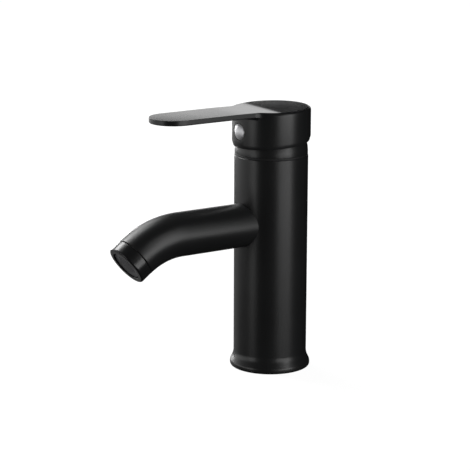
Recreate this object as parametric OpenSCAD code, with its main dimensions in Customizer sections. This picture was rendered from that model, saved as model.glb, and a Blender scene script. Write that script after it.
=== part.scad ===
// Single-lever basin mixer: a straight column on a flared foot, a bent tube spout with a screw-in
// aerator, and a flat paddle lever on a ceramic-disc cartridge.
// Millimetres. The origin is on the column's axis at the deck, +Z is up, and the spout and the
// lever point to -Y.

/* [Column] */
// Outside diameter of the column
column_d = 45; // [43.6:0.2:48]
// Wall of the column's tube
column_wall = 2; // [1.6:0.1:2.2]
// Height of the column, from the deck to the seam under the neck
column_h = 132.6; // [131:0.2:180]
// Chamfer on the column's top edge
column_chamfer = 0.4; // [0.2:0.1:0.6]

/* [Foot] */
// How far the foot flares out beyond the column
foot_flare = 2.2; // [2:0.1:4.5]
// Height at which the flare runs out into the column
foot_h = 8; // [7:0.5:14]
// Height of the foot's widest ring
foot_rim_h = 2.5; // [2:0.1:3.6]
// Rounding of the foot's bottom edge
foot_round = 1.5; // [1:0.1:2]
// Rounding of the foot's shoulder, above the widest ring
foot_shoulder = 3; // [2.2:0.1:3.4]

/* [Spout] */
// Depth of the spout's axis below the cartridge's seat
spout_depth = 11; // [10.8:0.1:50]
// Wall of the spout's tube round the aerator's thread
spout_wall = 1.2; // [1.2:0.1:2]
// Straight run, from the column's axis to the start of the bend
spout_straight = 66.5; // [52:0.5:120]
// Radius of the bend, at the tube's axis
bend_r = 52; // [30:0.5:60]
// Angle of the bend
bend_angle = 36; // [20:0.5:60]

/* [Aerator] */
// Outside diameter of the aerator's thread
aerator_thread_d = 24; // [23:0.5:24]
// Length of the aerator's thread
aerator_thread_l = 6; // [4:0.5:7]
// How far the visible collar is set in from the spout's tube
aerator_collar_step = 0.1; // [0.1:0.1:0.8]
// Length of the visible collar
aerator_collar_l = 7.8; // [6:0.2:11]
// Width of the lip that holds the insert, in the collar's end face
aerator_lip_w = 1.1; // [0.8:0.1:1.6]
// Thickness of the lip
aerator_lip = 1.5; // [1:0.1:2]
// Wall of the housing round the insert
aerator_wall = 1.5; // [1.2:0.1:1.6]
// Thickness of the flat washer behind the thread
washer_h = 1.6; // [1.2:0.1:2]
// Width of the shelf in the tube that the washer rests on
washer_shelf = 0.9; // [0.8:0.1:1.2]

/* [Neck] */
// Height of the slip ring on the column's top
glide_h = 1.2; // [0.8:0.1:1.6]
// Height of the lift pivot above the column's top
pivot_rise = 2.4; // [1:0.1:3]
// How far the neck's ball surface is set in from the column
neck_step = 0.2; // [0.15:0.05:0.5]
// Height of the neck's flat top above the pivot
neck_top = 8.5; // [8:0.1:9]
// Thickness of the neck's top plate
neck_plate = 2.2; // [1.5:0.1:3]
// Wall of the neck's spigot in the column
neck_spigot_wall = 1.15; // [1:0.05:1.2]

/* [Handle] */
// Wall of the cap at its rim
cap_wall = 1.3; // [0.8:0.1:2.4]
// Height of the handle's flat top above the pivot
cap_top = 27.3; // [25.6:0.1:30]
// Rounding of the cap's top edge
cap_round = 0.8; // [0.4:0.1:1.2]
// Height of the cap's lower rim above the pivot, at its middle
rim_rise = 5.5; // [5.2:0.1:6]
// How much higher the rim is at the back than at the front
rim_slant = 4; // [3.6:0.1:4.6]
// Width of the rim's chamfer
rim_chamfer_w = 0.75; // [0.4:0.05:0.9]
// Height of the rim's chamfer
rim_chamfer_h = 2.6; // [1.5:0.1:3]
// Width of the lever's blade
blade_w = 29.6; // [24:0.1:32]
// Thickness of the lever's blade
blade_t = 3.5; // [2:0.1:3.6]
// Reach of the lever, from the column's axis to its tip
blade_reach = 84.5; // [64:0.5:110]
// Fillet between the blade's edge and the cap, seen from above
blade_fillet = 8; // [4:0.5:12]
// Diameter of the hub round the spindle
hub_d = 16.4; // [15:0.2:16.6]
// Diameter of the boss that holds the set screw
screw_boss_d = 8.6; // [7.5:0.1:8.8]

/* [Index button] */
// Height of the button's centre above the pivot
button_rise = 13.5; // [13.3:0.1:14.5]
// Diameter of the button's hole in the cap
button_hole_d = 10.2; // [9:0.1:10.4]
// Depth of the button's hole
button_hole_l = 2.4; // [2:0.1:2.4]
// How far the button's dome stands proud of the cap
button_proud = 0.9; // [0.4:0.1:1.5]

/* [Cartridge] */
// Outside diameter of the cartridge
cartridge_d = 35; // [34.6:0.2:35.2]
// Height of the cartridge, from its seat to its shoulder
cartridge_h = 22.5; // [22.3:0.1:24]
// Height of the lift pivot above the cartridge's shoulder
pivot_above_shoulder = 10.5; // [10.3:0.1:12]
// Outside diameter of the cartridge's collar
collar_d = 27; // [26.4:0.2:27.4]
// Height of the collar above the shoulder
collar_h = 14; // [13.4:0.1:14.4]
// Thickness of the cartridge's roof
roof_h = 3; // [2.5:0.1:3.2]
// Diameter of the sleeve that turns in the collar
sleeve_d = 22.8; // [22.6:0.1:23.4]
// Thickness of the sleeve's flange
sleeve_flange_h = 2.8; // [2:0.1:2.8]
// Thickness of the cartridge's base
cartridge_base_h = 3.5; // [3:0.1:4]
// Thickness of each ceramic disc
disc_h = 3.5; // [3:0.1:3.6]
// Diameter of the fixed disc
fixed_disc_d = 27; // [26.8:0.1:28]
// Diameter of the sliding disc
moving_disc_d = 22.4; // [21.6:0.1:22.8]
// Thickness of the carrier's plate
carrier_plate_h = 3.5; // [2.5:0.1:4]

/* [Spindle] */
// Width across the flats of the square spindle
spindle_sq = 8; // [7:0.1:8]
// Height of the spindle's top above the pivot
spindle_up = 20; // [18:0.1:21]
// Length of the spindle's lower arm, from the pivot to the ball
spindle_arm = 9; // [8.8:0.1:9.4]
// Diameter of the rounded end of the lower arm
spindle_ball_d = 5.2; // [4.6:0.1:5.4]
// Thickness of the lower arm's neck
spindle_neck = 3.2; // [2.6:0.1:3.4]
// Diameter of the pivot pin
pin_d = 3; // [2.5:0.1:3.4]
// Angle of the lever at its highest
lift_angle = 24; // [18:1:25]

/* [Waterways] */
// Distance of each inlet from the middle plane
inlet_x = 7.2; // [6.8:0.1:7.6]
// Distance of the inlets in front of the column's axis
inlet_y = 3.5; // [3:0.1:4]
// Diameter of the inlet ports
inlet_d = 4.8; // [4:0.1:5]
// Distance of the mixed-water port behind the column's axis
outlet_y = 4; // [3.6:0.1:4.4]
// Diameter of the mixed-water port
outlet_d = 6.4; // [5:0.1:6.6]
// Diameter of the sliding disc's mixing chamber
chamber_d = 12.4; // [11:0.1:12.6]
// Depth of the mixing chamber in the sliding disc
chamber_h = 2.1; // [1.5:0.1:2.4]
// Outside diameter of the supply pipes
pipe_d = 8; // [7:0.5:8]
// Wall of the supply pipes
pipe_wall = 1; // [0.6:0.1:1.2]
// Depth of the pipes' sockets
pipe_socket_l = 6; // [4:0.5:7]
// Width of the slot that carries mixed water to the spout
slot_w = 7.6; // [5:0.2:7.8]
// Height of the slot that carries mixed water to the spout
slot_h = 9; // [6:0.5:11]

/* [Valve block and adapter] */
// How far the valve block's top lies below the column's top
block_recess = 5; // [4.5:0.1:5.5]
// How far the valve block reaches below the spout's axis
block_floor = 13; // [12.5:0.5:20]
// Height of the retaining nut's threaded ring
nut_ring_h = 3.7; // [3:0.1:4]
// Height of the retaining nut's hexagon
nut_hex_h = 5; // [3:0.1:5.4]
// Diameter of the adapter's nipple, where it screws into the valve block
nipple_d = 16; // [15:0.1:16.6]
// Distance from the column's axis to the nipple's inner end
nipple_y = 12; // [11:0.1:13]
// Bore of the adapter
adapter_bore_d = 11.2; // [9:0.1:12]
// Length of the adapter's collar, in the spout's tube
adapter_collar_l = 8; // [7:0.5:12]

/* [Base] */
// Height of the base block
base_h = 18; // [17:0.5:24]
// Diameter of the hose sockets, cut for an M10 x 1 thread
hose_hole_d = 9; // [8:0.1:9.2]
// Depth of the hose sockets' thread
hose_hole_l = 10; // [8:0.5:10]
// Diameter of the stud's hole, cut for an M8 thread
stud_hole_d = 6.8; // [5:0.1:8]
// Depth of the stud's hole
stud_hole_l = 14; // [8:0.5:15]
// Distance of the stud behind the column's axis
stud_y = 10.5; // [9.5:0.1:11.2]
// Wall of the base block outside the deck seal's groove
deck_seal_wall = 0.8; // [0.6:0.1:1.2]
// Thickness of the deck seal
deck_seal_d = 2.6; // [2:0.1:2.8]

/* [Fits] */
// Radial gap between pieces that are pressed, screwed or brazed together
fit_gap = 0.1; // [0.05:0.01:0.14]
// Radial gap of a shaft or pin that turns in its hole
run_gap = 0.05; // [0.03:0.01:0.09]
// Gap between surfaces that sweep past each other
sweep_gap = 0.3; // [0.25:0.01:0.35]

/* [Hidden] */
$fn = 96;
cut = 1;                    // how far a cutting tool runs past the face it opens

col_r = column_d / 2;
bore_r = col_r - column_wall;
block_r = bore_r - fit_gap;
foot_r = col_r + foot_flare;
deck_seal_r = block_r - deck_seal_wall - fit_gap - deck_seal_d / 2;

pivot_z = column_h + pivot_rise;
neck_base_z = column_h + glide_h;
neck_r = col_r - neck_step;
cavity_r = neck_r + sweep_gap;
spigot_r = bore_r - 1.5 * fit_gap;
spigot_bore_r = spigot_r - neck_spigot_wall;

cap_r = cavity_r + cap_wall;
cap_top_z = pivot_z + cap_top;
rim_z = pivot_z + rim_rise;
rim_angle = atan(rim_slant / (2 * cap_r));
hub_z = pivot_z + neck_top + sweep_gap;
blade_r = blade_w / 2;
button_z = pivot_z + button_rise;
button_floor = cap_r - button_hole_l;
socket = spindle_sq / 2 + run_gap;
screw_r = 2.5;              // thread of the M5 set screw
screw_l = 12;
screw_key = 2.5;            // across the flats of its hexagon socket
screw_key_l = 2.5;
button_edge = 0.4;          // how far the dome's edge lies inside the cap

shoulder_z = pivot_z - pivot_above_shoulder;
seat_z = shoulder_z - cartridge_h;
collar_top_z = shoulder_z + collar_h;
cartridge_r = cartridge_d / 2;
housing_bore_r = cartridge_r - 2;
collar_r = collar_d / 2;
sleeve_r = sleeve_d / 2;
collar_bore_r = sleeve_r + run_gap;
roof_z = shoulder_z - roof_h;
fixed_disc_z = seat_z + cartridge_base_h;
moving_disc_z = fixed_disc_z + disc_h;
carrier_z = moving_disc_z + disc_h;
ball_z = pivot_z - spindle_arm;
boss_top_z = ball_z + spindle_ball_d / 2 - 0.1;
carrier_r = moving_disc_d / 2 - 0.5;

// How far the sliding disc moves forward when the lever is lifted all the way.
disc_travel = spindle_arm * lift_angle * PI / 180;
pocket_y = spindle_ball_d / 2 + 0.4;
pocket_x = 3.5;
spindle_arm_x = pocket_x - sweep_gap - 0.1;
pocket_floor_z = ball_z - spindle_ball_d / 2 - 0.4;
boss_x = pocket_x + 1.5;
boss_y = pocket_y + 1.5;
slot_step_z = boss_top_z + 0.6;
square_z = slot_step_z + 2; // lower end of the spindle's square
sleeve_top_z = collar_top_z - 1;
sleeve_seal_z = slot_step_z + 1.1;
sleeve_seal_ring_r = sleeve_r - 0.7;
pin_half = sleeve_r - 1.8;
press_gap = 0.01;           // round the pin, where it is pressed into the sleeve

// How far the tipped spindle reaches in front of the axis, and behind it at the sleeve's top.
tip_front = spindle_sq / 2 * cos(lift_angle) + (pivot_z - square_z) * sin(lift_angle);
tip_rear = (spindle_sq / 2 + (sleeve_top_z - pivot_z) * sin(lift_angle)) / cos(lift_angle);

nut_ring_r = block_r - 1.45;
nut_bore_r = collar_r + sweep_gap;
nut_ring_top_z = shoulder_z + nut_ring_h;
nut_hex_r = nut_ring_r - 0.45;
neck_hole_r = collar_r + 1.7;

// The aerator's thread sets the size of its insert, its collar and the spout's tube.
thread_r = aerator_thread_d / 2;
spout_z = seat_z - spout_depth;
spout_r = thread_r + fit_gap + spout_wall;
spout_bore_r = thread_r + fit_gap - washer_shelf;
bend_end_y = -spout_straight - bend_r * sin(bend_angle);
bend_end_z = spout_z - bend_r * (1 - cos(bend_angle));
saddle_r = col_r + 0.02;    // the tube is coped to the column, with a hairline for the braze
aerator_collar_r = spout_r - aerator_collar_step;
washer_r = thread_r - 2 * fit_gap;
insert_r = thread_r - fit_gap - aerator_wall;
mouth_r = insert_r - aerator_lip_w;
nose_r = mouth_r - 2 * fit_gap;
insert_top = aerator_collar_l - aerator_lip;
insert_wall = 1.6;
jet_r = 0.7;                // of the jets in the insert's floor
screen_h = 0.8;
screen_hole_r = 0.65;
screen_pitch = 2;

block_top_z = column_h - block_recess;
block_bottom_z = spout_z - block_floor;
nipple_r = nipple_d / 2;
collar_y = col_r + 1.5;     // where the adapter's collar starts, outside the column
adapter_l = collar_y + adapter_collar_l;
adapter_bore_r = adapter_bore_d / 2;
adapter_seal_y = collar_y + adapter_collar_l / 2;
adapter_seal_ring_r = spout_bore_r - 0.8;

pipe_r = pipe_d / 2;
pipe_bottom_z = base_h - pipe_socket_l;
pipe_top_z = block_bottom_z + pipe_socket_l;
key_r = 2;                  // the cartridge's two locating pegs
key_l = 2.5;
key_ring_r = cartridge_r - key_r - 0.65;
key_turn = 57;              // of each peg, from the back of the cartridge

// Sections of the O-rings, as radii.
pipe_seal_r = 0.62;
port_seal_r = 0.8;
adapter_seal_r = 0.75;
sleeve_seal_r = 0.68;

// Each port of the cartridge: its place, its radius, and the radius of the O-ring round it.
port_edge = 1.2;
ports = [
    [inlet_x, -inlet_y, inlet_d / 2, inlet_d / 2 + port_edge],
    [-inlet_x, -inlet_y, inlet_d / 2, inlet_d / 2 + port_edge],
    [0, outlet_y, outlet_d / 2, outlet_d / 2 + port_edge]
];

// ---- shapes that repeat -------------------------------------------------------------------

module tube(r_out, r_in, h) {
    difference() {
        cylinder(r = r_out, h = h);
        translate([0, 0, -cut])
            cylinder(r = r_in, h = h + 2 * cut);
    }
}

module o_ring(ring_r, section_r) {
    rotate_extrude()
        translate([ring_r, 0])
            circle(r = section_r);
}

// A square groove for an O-ring, centred on z = 0, between two radii.
module ring_groove(r_in, r_out, w) {
    translate([0, 0, -w / 2])
        tube(r_out, r_in, w);
}

// Puts its children in front of the column's axis: +Z of a child becomes -Y.
module facing_front(z) {
    translate([0, 0, z])
        rotate([90, 0, 0])
            children();
}

// Puts its children on the spout's mouth: +Z of a child points out of the tube.
module at_mouth() {
    translate([0, bend_end_y, bend_end_z])
        rotate([90 + bend_angle, 0, 0])
            children();
}

module at_keys() {
    for (turn = [-key_turn, key_turn])
        rotate([0, 0, turn])
            translate([0, key_ring_r, 0])
                children();
}

module at_pipes() {
    for (side = [-1, 1])
        translate([side * inlet_x, -inlet_y, 0])
            children();
}

// ---- column, foot and base ----------------------------------------------------------------

// Where the flare's straight stretch leaves the shoulder's arc.
function tangent_point(centre, r, point) =
    let (v = point - centre)
    let (turn = atan2(v[1], v[0]) - acos(r / norm(v)))
    centre + r * [cos(turn), sin(turn)];

module foot_profile() {
    shoulder = [foot_r - foot_shoulder, foot_rim_h];
    flare = tangent_point(shoulder, foot_shoulder, [col_r, foot_h]);
    polygon([
        [bore_r, 0], [foot_r - foot_round, 0], [foot_r, foot_round], [foot_r, foot_rim_h],
        flare, [col_r, foot_h], [bore_r, foot_h]
    ]);
    intersection() {
        translate(shoulder)
            circle(r = foot_shoulder);
        translate([bore_r, 0])
            square([foot_r, foot_h]);
    }
    translate([foot_r - foot_round, foot_round])
        circle(r = foot_round);
}

module column_profile() {
    polygon([
        [bore_r, 0], [col_r, 0], [col_r, column_h - column_chamfer],
        [col_r - column_chamfer, column_h], [bore_r, column_h]
    ]);
}

module body() {
    color([0.1, 0.1, 0.11])
        difference() {
            rotate_extrude() {
                foot_profile();
                column_profile();
            }
            facing_front(spout_z)
                cylinder(r = nipple_r + 4 * fit_gap, h = col_r + cut);
        }
}

module base_block() {
    color([0.8, 0.65, 0.35])
        difference() {
            cylinder(r = block_r, h = base_h);
            at_pipes() {
                translate([0, 0, -cut])
                    cylinder(r = hose_hole_d / 2, h = hose_hole_l + cut);
                cylinder(r = pipe_r - pipe_wall, h = base_h);
                translate([0, 0, pipe_bottom_z])
                    cylinder(r = pipe_r + fit_gap, h = pipe_socket_l + cut);
                translate([0, 0, base_h - pipe_socket_l / 2])
                    pipe_seal_groove();
            }
            translate([0, stud_y, -cut])
                cylinder(r = stud_hole_d / 2, h = stud_hole_l + cut);
            translate([0, 0, -cut])
                tube(deck_seal_r + deck_seal_d / 2 + fit_gap, deck_seal_r - deck_seal_d / 2 - fit_gap,
                    deck_seal_d + fit_gap + cut);
        }
}

module deck_seal() {
    color([0.12, 0.12, 0.12])
        translate([0, 0, deck_seal_d / 2])
            o_ring(deck_seal_r, deck_seal_d / 2);
}

// ---- waterways ----------------------------------------------------------------------------

module supply_pipe(side) {
    color([0.8, 0.5, 0.35])
        translate([side * inlet_x, -inlet_y, pipe_bottom_z])
            tube(pipe_r, pipe_r - pipe_wall, pipe_top_z - pipe_bottom_z);
}

module hot_pipe() {
    supply_pipe(-1);
}

module cold_pipe() {
    supply_pipe(1);
}

module pipe_seal_groove() {
    ring_groove(pipe_r - cut, pipe_r + 2 * pipe_seal_r + 2 * run_gap, 2 * pipe_seal_r + 2 * run_gap);
}

module pipe_seals() {
    color([0.12, 0.12, 0.12])
        at_pipes()
            for (z = [base_h - pipe_socket_l / 2, block_bottom_z + pipe_socket_l / 2])
                translate([0, 0, z])
                    o_ring(pipe_r + run_gap + pipe_seal_r, pipe_seal_r);
}

module valve_block() {
    color([0.8, 0.65, 0.35])
        difference() {
            translate([0, 0, block_bottom_z])
                cylinder(r = block_r, h = block_top_z - block_bottom_z);
            // The cartridge's well and, above it, the thread of the retaining nut.
            translate([0, 0, seat_z])
                cylinder(r = cartridge_r + fit_gap, h = column_h);
            translate([0, 0, shoulder_z - 0.5])
                cylinder(r = nut_ring_r + fit_gap, h = column_h);
            // The two supplies, from the pipes' sockets to the seat.
            at_pipes() {
                translate([0, 0, block_bottom_z - cut])
                    cylinder(r = pipe_r + fit_gap, h = pipe_socket_l + cut);
                translate([0, 0, block_bottom_z + pipe_socket_l / 2])
                    pipe_seal_groove();
                translate([0, 0, block_bottom_z])
                    cylinder(r = inlet_d / 2, h = seat_z - block_bottom_z + cut);
            }
            // Mixed water goes down behind the axis, then forward between the supplies.
            translate([0, outlet_y, spout_z - slot_h / 2])
                cylinder(r = outlet_d / 2, h = seat_z - spout_z + slot_h / 2 + cut);
            translate([-slot_w / 2, -nipple_y, spout_z - slot_h / 2])
                cube([slot_w, nipple_y + outlet_y, slot_h]);
            facing_front(spout_z)
                translate([0, 0, nipple_y - cut])
                    cylinder(r = nipple_r + fit_gap, h = block_r);
            at_keys()
                translate([0, 0, seat_z - key_l - fit_gap])
                    cylinder(r = key_r + fit_gap, h = key_l + fit_gap + cut);
        }
}

// ---- spout --------------------------------------------------------------------------------

module spout_adapter() {
    color([0.8, 0.65, 0.35])
        facing_front(spout_z)
            difference() {
                union() {
                    translate([0, 0, nipple_y])
                        cylinder(r = nipple_r, h = adapter_l - nipple_y);
                    translate([0, 0, collar_y])
                        cylinder(r = spout_bore_r - fit_gap, h = adapter_l - collar_y);
                }
                translate([0, 0, nipple_y - cut])
                    cylinder(r = adapter_bore_r, h = adapter_l);
                translate([0, 0, adapter_seal_y])
                    ring_groove(adapter_seal_ring_r - adapter_seal_r - run_gap,
                        spout_bore_r + cut, 2 * (adapter_seal_r + run_gap));
            }
}

module adapter_seal() {
    color([0.12, 0.12, 0.12])
        facing_front(spout_z)
            translate([0, 0, adapter_seal_y])
                o_ring(adapter_seal_ring_r, adapter_seal_r);
}

// The bend of a rod of radius r, from the end of the straight run to the mouth.
module bend(r) {
    translate([0, -spout_straight, spout_z - bend_r])
        rotate([0, -90, 180])
            rotate_extrude(angle = bend_angle)
                translate([bend_r, 0])
                    circle(r = r);
}

module spout() {
    color([0.1, 0.1, 0.11])
        difference() {
            union() {
                facing_front(spout_z)
                    cylinder(r = spout_r, h = spout_straight);
                bend(spout_r);
            }
            cylinder(r = saddle_r, h = column_h);
            facing_front(spout_z)
                cylinder(r = spout_bore_r, h = spout_straight);
            bend(spout_bore_r);
            at_mouth()
                translate([0, 0, -aerator_thread_l - washer_h])
                    cylinder(r = thread_r + fit_gap, h = aerator_thread_l + washer_h + cut);
        }
}

module aerator_housing() {
    r = aerator_collar_r;
    edge = 0.5;
    color([0.1, 0.1, 0.11])
        at_mouth()
            difference() {
                union() {
                    translate([0, 0, -aerator_thread_l])
                        cylinder(r = thread_r, h = aerator_thread_l);
                    rotate_extrude()
                        polygon([
                            [0, 0], [r - edge / 2, 0], [r, edge / 2],
                            [r, aerator_collar_l - edge], [r - edge, aerator_collar_l],
                            [0, aerator_collar_l]
                        ]);
                }
                translate([0, 0, -aerator_thread_l - cut])
                    cylinder(r = insert_r + fit_gap, h = insert_top + aerator_thread_l + cut);
                cylinder(r = mouth_r, h = aerator_collar_l + cut);
            }
}

module aerator_washer() {
    color([0.12, 0.12, 0.12])
        at_mouth()
            translate([0, 0, -aerator_thread_l - washer_h])
                tube(washer_r, insert_r - 1, washer_h);
}

module aerator_insert() {
    color([0.3, 0.3, 0.31])
        at_mouth()
            difference() {
                union() {
                    translate([0, 0, -aerator_thread_l])
                        cylinder(r = insert_r, h = insert_top + aerator_thread_l);
                    cylinder(r = nose_r, h = insert_top + aerator_lip / 2);
                }
                translate([0, 0, -aerator_thread_l + insert_wall])
                    cylinder(r = insert_r - insert_wall, h = aerator_collar_l + aerator_thread_l);
                // Jets in the floor, through which the water enters the mixing space.
                for (turn = [0:45:315])
                    rotate([0, 0, turn])
                        translate([insert_r * 0.55, 0, -aerator_thread_l - cut])
                            cylinder(r = jet_r, h = insert_wall + 2 * cut);
            }
}

// Round holes on a triangular grid, as many rings as fit the screen.
module aerator_screen() {
    screen_r = insert_r - insert_wall - fit_gap / 2;
    rings = floor((screen_r - screen_hole_r - 0.45) / screen_pitch);
    color([0.35, 0.35, 0.36])
        at_mouth()
            translate([0, 0, insert_top - screen_h / 2])
                difference() {
                    cylinder(r = screen_r, h = screen_h);
                    for (q = [-rings:rings])
                        for (r = [max(-rings, -q - rings):min(rings, rings - q)])
                            translate([
                                screen_pitch * (q + r / 2), screen_pitch * r * sqrt(3) / 2, -cut
                            ])
                                cylinder(r = screen_hole_r, h = screen_h + 2 * cut, $fn = 24);
                }
}

// ---- neck and retaining nut ---------------------------------------------------------------

module glide_ring() {
    color([0.16, 0.16, 0.17])
        translate([0, 0, column_h])
            tube(col_r - column_chamfer / 2, spigot_r + fit_gap, glide_h);
}

module neck_ring() {
    color([0.1, 0.1, 0.11])
        difference() {
            union() {
                intersection() {
                    translate([0, 0, pivot_z])
                        sphere(r = neck_r);
                    translate([0, 0, neck_base_z])
                        cylinder(r = col_r, h = pivot_z + neck_top - neck_base_z);
                }
                translate([0, 0, block_top_z + sweep_gap])
                    cylinder(r = spigot_r, h = neck_base_z - block_top_z);
            }
            translate([0, 0, block_top_z])
                cylinder(r = spigot_bore_r, h = pivot_z + neck_top - neck_plate - block_top_z);
            translate([0, 0, block_top_z])
                cylinder(r = neck_hole_r, h = column_h);
        }
}

module retaining_nut() {
    color([0.8, 0.65, 0.35])
        difference() {
            union() {
                translate([0, 0, shoulder_z])
                    cylinder(r = nut_ring_r, h = nut_ring_top_z - shoulder_z);
                translate([0, 0, nut_ring_top_z])
                    cylinder(r = nut_hex_r, h = nut_hex_h, $fn = 6);
            }
            translate([0, 0, shoulder_z - cut])
                cylinder(r = nut_bore_r, h = column_h);
        }
}

// ---- cartridge ----------------------------------------------------------------------------

module cartridge_housing() {
    color([0.85, 0.85, 0.83])
        difference() {
            union() {
                translate([0, 0, fixed_disc_z])
                    cylinder(r = cartridge_r, h = shoulder_z - fixed_disc_z);
                translate([0, 0, shoulder_z])
                    cylinder(r = collar_r, h = collar_h);
            }
            translate([0, 0, fixed_disc_z - cut])
                cylinder(r = fixed_disc_d / 2 + fit_gap, h = disc_h + 2 * cut);
            translate([0, 0, moving_disc_z - sweep_gap])
                cylinder(r = housing_bore_r, h = roof_z - moving_disc_z + sweep_gap);
            translate([0, 0, fixed_disc_z])
                cylinder(r = collar_bore_r, h = column_h);
        }
}

module port_holes(z, h) {
    for (port = ports)
        translate([port[0], port[1], z])
            cylinder(r = port[2], h = h);
}

module cartridge_base() {
    color([0.85, 0.85, 0.83])
        difference() {
            union() {
                translate([0, 0, seat_z])
                    cylinder(r = cartridge_r - fit_gap, h = cartridge_base_h);
                at_keys()
                    translate([0, 0, seat_z - key_l])
                        cylinder(r = key_r, h = key_l + cut);
            }
            port_holes(seat_z - cut, cartridge_base_h + 2 * cut);
            for (port = ports)
                translate([port[0], port[1], seat_z - cut])
                    tube(port[3] + port_seal_r + run_gap, port[3] - port_seal_r - run_gap,
                        2 * port_seal_r + run_gap + cut);
        }
}

module cartridge_seals() {
    color([0.12, 0.12, 0.12])
        for (port = ports)
            translate([port[0], port[1], seat_z + port_seal_r])
                o_ring(port[3], port_seal_r);
}

module fixed_disc() {
    color([0.95, 0.95, 0.93])
        difference() {
            translate([0, 0, fixed_disc_z])
                cylinder(r = fixed_disc_d / 2, h = disc_h);
            port_holes(fixed_disc_z - cut, disc_h + 2 * cut);
        }
}

module moving_disc() {
    color([0.95, 0.95, 0.93])
        difference() {
            translate([0, 0, moving_disc_z])
                cylinder(r = moving_disc_d / 2, h = disc_h);
            translate([0, outlet_y / 2, moving_disc_z - cut])
                cylinder(r = chamber_d / 2, h = chamber_h + cut);
        }
}

module disc_carrier() {
    color([0.75, 0.75, 0.72])
        difference() {
            union() {
                translate([0, 0, carrier_z])
                    cylinder(r = carrier_r, h = carrier_plate_h);
                translate([-boss_x, -boss_y, carrier_z])
                    cube([2 * boss_x, 2 * boss_y, boss_top_z - carrier_z]);
            }
            translate([-pocket_x, -pocket_y, pocket_floor_z])
                cube([2 * pocket_x, 2 * pocket_y, boss_top_z]);
        }
}

// The sleeve turns for temperature. Its lower slot lets the carrier travel forward, and its
// upper slot lets the spindle tip.
module spindle_sleeve() {
    half = spindle_sq / 2;
    color([0.75, 0.75, 0.72])
        difference() {
            union() {
                translate([0, 0, roof_z - fit_gap - sleeve_flange_h])
                    cylinder(r = housing_bore_r - sweep_gap, h = sleeve_flange_h);
                translate([0, 0, roof_z - fit_gap - sleeve_flange_h])
                    cylinder(r = sleeve_r, h = sleeve_top_z - roof_z + fit_gap + sleeve_flange_h);
            }
            translate([-boss_x - sweep_gap, -boss_y - disc_travel - sweep_gap, seat_z])
                cube([2 * (boss_x + sweep_gap), 2 * (boss_y + sweep_gap) + disc_travel,
                    slot_step_z - seat_z]);
            translate([-half - sweep_gap, -tip_front - sweep_gap, seat_z])
                cube([spindle_sq + 2 * sweep_gap, tip_front + tip_rear + 2 * sweep_gap, column_h]);
            translate([-housing_bore_r, 0, pivot_z])
                rotate([0, 90, 0])
                    cylinder(r = pin_d / 2 + press_gap, h = 2 * housing_bore_r);
            translate([0, 0, sleeve_seal_z])
                ring_groove(sleeve_seal_ring_r - sleeve_seal_r - run_gap, sleeve_r + cut,
                    2 * (sleeve_seal_r + run_gap));
        }
}

module sleeve_seal() {
    color([0.12, 0.12, 0.12])
        translate([0, 0, sleeve_seal_z])
            o_ring(sleeve_seal_ring_r, sleeve_seal_r);
}

module spindle_pin() {
    color([0.7, 0.7, 0.72])
        translate([-pin_half, 0, pivot_z])
            rotate([0, 90, 0])
                cylinder(r = pin_d / 2, h = 2 * pin_half);
}

module spindle() {
    half = spindle_sq / 2;
    color([0.7, 0.7, 0.72])
        difference() {
            union() {
                translate([-half, -half, square_z])
                    cube([spindle_sq, spindle_sq, pivot_z + spindle_up - square_z]);
                translate([-spindle_arm_x, -spindle_neck / 2, ball_z])
                    cube([2 * spindle_arm_x, spindle_neck, square_z - ball_z + cut]);
                translate([-spindle_arm_x, 0, ball_z])
                    rotate([0, 90, 0])
                        cylinder(r = spindle_ball_d / 2, h = 2 * spindle_arm_x);
            }
            translate([-spindle_sq, 0, pivot_z])
                rotate([0, 90, 0])
                    cylinder(r = pin_d / 2 + run_gap, h = 2 * spindle_sq);
        }
}

// ---- handle -------------------------------------------------------------------------------

// The blade seen from above: straight sides, a half-round tip, and a fillet on each side where
// it runs into the round cap.
module blade_outline() {
    fillet_x = blade_r + blade_fillet;
    fillet_y = -sqrt(pow(cap_r + blade_fillet, 2) - pow(fillet_x, 2));
    touch = cap_r / (cap_r + blade_fillet) * [fillet_x, fillet_y];
    tip_y = blade_r - blade_reach;
    translate([0, tip_y])
        circle(r = blade_r);
    translate([-blade_r, tip_y])
        square([blade_w, -tip_y]);
    difference() {
        for (side = [-1, 1])
            polygon([
                [0, fillet_y], [side * blade_r, fillet_y], [side * fillet_x, fillet_y],
                [side * touch[0], touch[1]], [0, 0]
            ]);
        for (side = [-1, 1])
            translate([side * fillet_x, fillet_y])
                circle(r = blade_fillet);
    }
}

module cap_profile() {
    polygon([
        [0, pivot_z], [cap_r, pivot_z], [cap_r, cap_top_z - cap_round],
        [cap_r - cap_round, cap_top_z], [0, cap_top_z]
    ]);
    translate([cap_r - cap_round, cap_top_z - cap_round])
        circle(r = cap_round);
}

// Everything below the cap's slanted lower rim, with the chamfer round its outside.
module rim_cut() {
    translate([0, 0, rim_z])
        rotate([rim_angle, 0, 0]) {
            translate([0, 0, -cap_top])
                cylinder(r = 2 * cap_r, h = cap_top);
            rotate_extrude()
                polygon([
                    [cap_r - rim_chamfer_w, -cut], [cap_r - rim_chamfer_w, 0],
                    [cap_r + rim_chamfer_w, 2 * rim_chamfer_h], [2 * cap_r, 2 * rim_chamfer_h],
                    [2 * cap_r, -cut]
                ]);
        }
}

module handle_shell() {
    difference() {
        union() {
            difference() {
                rotate_extrude()
                    cap_profile();
                rim_cut();
            }
            translate([0, 0, cap_top_z - blade_t])
                linear_extrude(height = blade_t)
                    blade_outline();
        }
        translate([0, 0, pivot_z])
            sphere(r = cavity_r);
    }
}

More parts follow.
